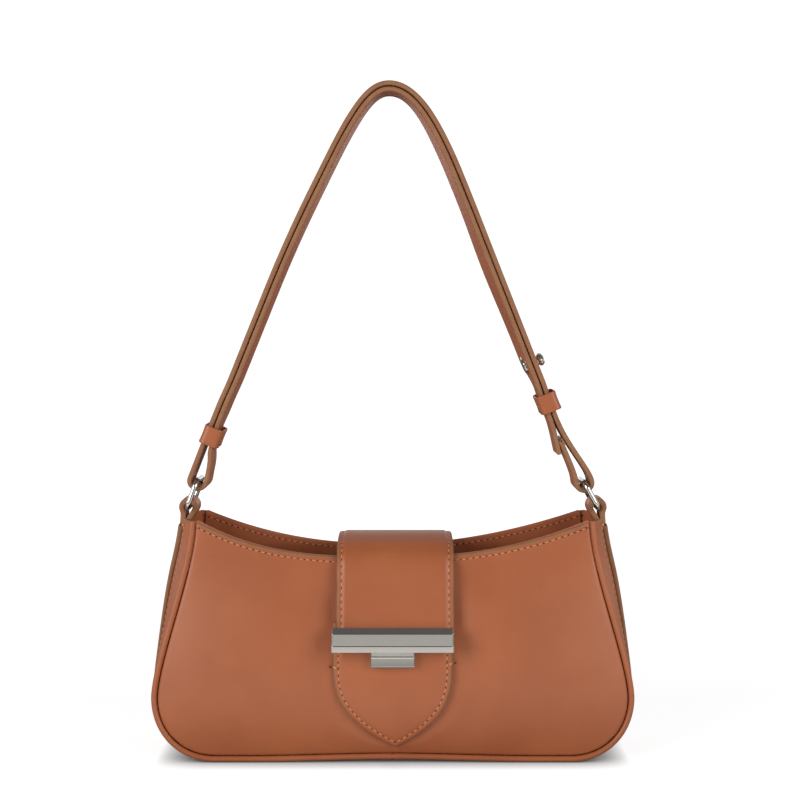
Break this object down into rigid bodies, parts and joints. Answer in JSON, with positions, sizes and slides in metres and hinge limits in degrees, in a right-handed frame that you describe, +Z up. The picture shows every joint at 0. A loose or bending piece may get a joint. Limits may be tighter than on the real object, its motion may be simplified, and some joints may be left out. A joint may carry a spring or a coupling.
{
  "type": "crossbody bag",
  "caption": "Small leather shoulder bag with a dipped open mouth, a magnetic clasp flap on a pointed tongue, and a doubled strap on rings.",
  "frame": {"origin": "on the ground, in the middle of the bag's width and of its depth at the base", "axes": "+X to the wearer's view right, the front panel faces -Y, +Z up along the strap"},
  "size_m": [0.2696, 0.0724, 0.3752],
  "materials": {
    "tan_leather": "smooth dyed cowhide with fine pores and a soft sheen",
    "edged_leather": "doubled cowhide strap with olive painted edges",
    "facing_leather": "thin tan leather facing",
    "lining_cloth": "brown woven cotton lining",
    "stiffener_board": "plain pressed board, never seen",
    "polished_nickel": "polished and tumbled nickel plate",
    "plain_steel": "plain steel, hidden"
  },
  "bodies": {
    "bag": {"front_panel": "tan_leather", "back_panel": "tan_leather", "gusset_left": "tan_leather", "gusset_right": "tan_leather", "front_piping": "tan_leather", "back_piping": "tan_leather", "side_strip_left": "edged_leather", "side_strip_right": "edged_leather", "front_facing": "facing_leather", "back_facing": "facing_leather", "side_facing_left": "facing_leather", "side_facing_right": "facing_leather", "front_lining": "lining_cloth", "back_lining": "lining_cloth", "gusset_lining": "lining_cloth", "base_board": "stiffener_board", "tongue_patch": "tan_leather", "catch_plate": "polished_nickel", "catch_backplate": "plain_steel", "catch_rivets": "plain_steel", "flap_anchor": "tan_leather"},
    "flap": {"flap": "tan_leather", "flap_lining": "tan_leather", "clasp_bar": "polished_nickel", "clasp_magnet": "plain_steel", "clasp_backplate": "plain_steel", "clasp_rivets": "plain_steel"},
    "strap": {"strap": "tan_leather", "strap_stud": "polished_nickel", "strap_stud_screw": "polished_nickel", "tab_left": "tan_leather", "tab_right": "tan_leather"},
    "ring_left": {"ring_left": "polished_nickel"},
    "ring_right": {"ring_right": "polished_nickel"},
    "keeper_left": {"keeper_left": "tan_leather"},
    "keeper_right": {"keeper_right": "tan_leather"}
  },
  "joints": [
    {"name": "flap_hinge", "type": "hinge", "parent": "bag", "child": "flap", "pos_m": [0, 0.02424, 0.1137], "axis": [-1, 0, 0], "range_deg": [0, 140]},
    {"name": "strap_swing", "type": "hinge", "parent": "bag", "child": "strap", "pos_m": [0, 0, 0.133], "axis": [1, 0, 0], "range_deg": [-40, 40]},
    {"name": "ring_left_swivel", "type": "hinge", "parent": "strap", "child": "ring_left", "pos_m": [-0.11445, 0, 0.1392], "axis": [0, 1, 0], "range_deg": [-3.5, 3.5]},
    {"name": "ring_right_swivel", "type": "hinge", "parent": "strap", "child": "ring_right", "pos_m": [0.11445, 0, 0.1392], "axis": [0, 1, 0], "range_deg": [-3.5, 3.5]},
    {"name": "keeper_left_slide", "type": "slide", "parent": "strap", "child": "keeper_left", "axis": [0.3786, 0, 0.9256], "range_m": [0, 0.04]},
    {"name": "keeper_right_slide", "type": "slide", "parent": "strap", "child": "keeper_right", "axis": [-0.3701, 0, 0.929], "range_m": [0, 0.011]}
  ]
}
